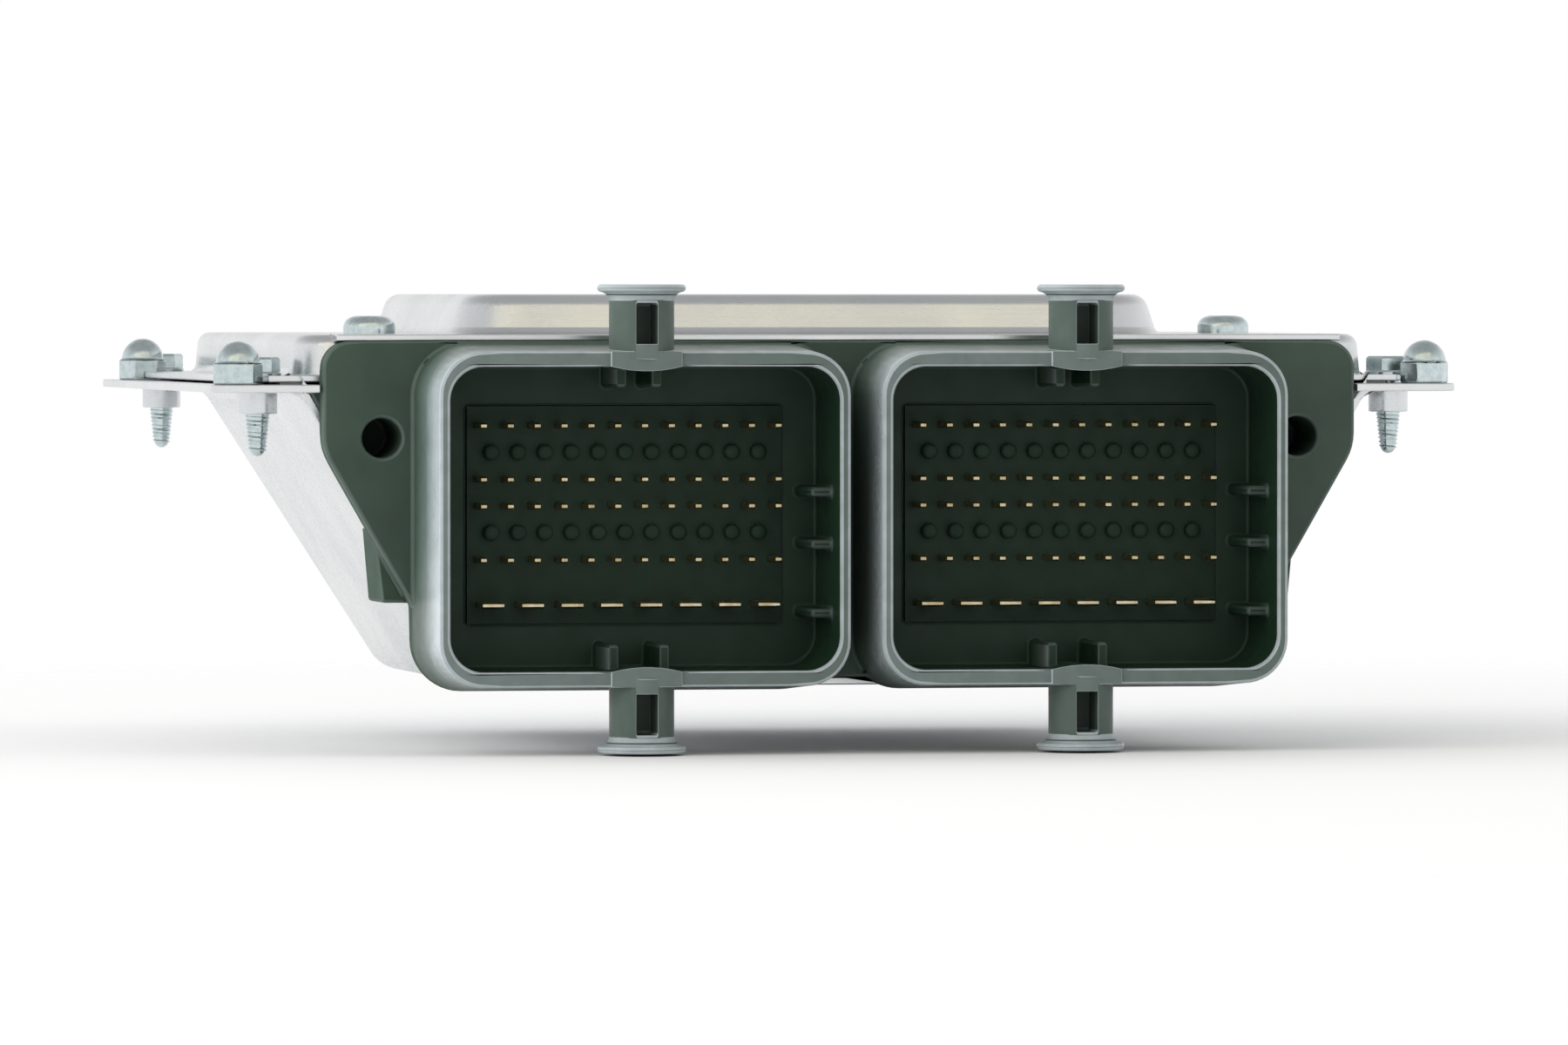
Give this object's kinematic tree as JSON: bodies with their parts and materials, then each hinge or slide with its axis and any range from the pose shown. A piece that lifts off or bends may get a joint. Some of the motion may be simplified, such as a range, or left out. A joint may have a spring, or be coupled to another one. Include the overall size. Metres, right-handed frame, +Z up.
{
  "type": "engine control unit",
  "caption": "Engine control unit: black plastic header with two lever-lock connector shrouds on a sealed two-piece aluminium sheet housing with side flanges.",
  "frame": {"origin": "midway between the two ear holes, on the front face of the header plate", "axes": "+X to the right seen from the connector side, +Y to the rear away from the connectors, +Z up through the cover"},
  "size_m": [0.1596, 0.1212, 0.0583],
  "materials": {
    "header_plastic": "semi-gloss moulded",
    "carrier_plastic": "satin moulded",
    "gold_plate": "bright plated",
    "tin_plate": "bright plated",
    "housing_aluminium": "bright rolled sheet",
    "zinc_plate": "zinc plated",
    "sealant": "cured bead",
    "board_laminate": "solder-masked",
    "chip_epoxy": "moulded",
    "thermal_pad": "soft",
    "can_aluminium": "sleeved",
    "ferrite": "ground",
    "copper_wire": "enamelled",
    "capacitor_body": "fired"
  },
  "bodies": {
    "root": {"connector_header": "header_plastic", "left_pin_carrier": "carrier_plastic", "right_pin_carrier": "carrier_plastic", "left_signal_pins": "gold_plate", "right_signal_pins": "gold_plate", "left_power_blades": "tin_plate", "right_power_blades": "tin_plate", "top_cover": "housing_aluminium", "bottom_pan": "housing_aluminium", "housing_seal": "sealant", "header_seal": "sealant", "cover_screws": "zinc_plate", "mounting_cap_nuts": "zinc_plate", "header_screws": "zinc_plate", "circuit_board": "board_laminate", "board_standoffs": "tin_plate", "board_screws": "zinc_plate", "microcontroller": "chip_epoxy", "memory_chip": "chip_epoxy", "signal_chips": "chip_epoxy", "driver_chips": "chip_epoxy", "driver_thermal_pads": "thermal_pad", "power_transistors": "chip_epoxy", "transistor_thermal_pads": "thermal_pad", "voltage_regulator": "chip_epoxy", "reverse_polarity_diode": "chip_epoxy", "quartz_crystal": "tin_plate", "air_pressure_sensor": "chip_epoxy", "chip_capacitors": "capacitor_body", "buffer_capacitors": "can_aluminium", "filter_choke_core": "ferrite", "filter_choke_winding": "copper_wire"}
  },
  "joints": []
}
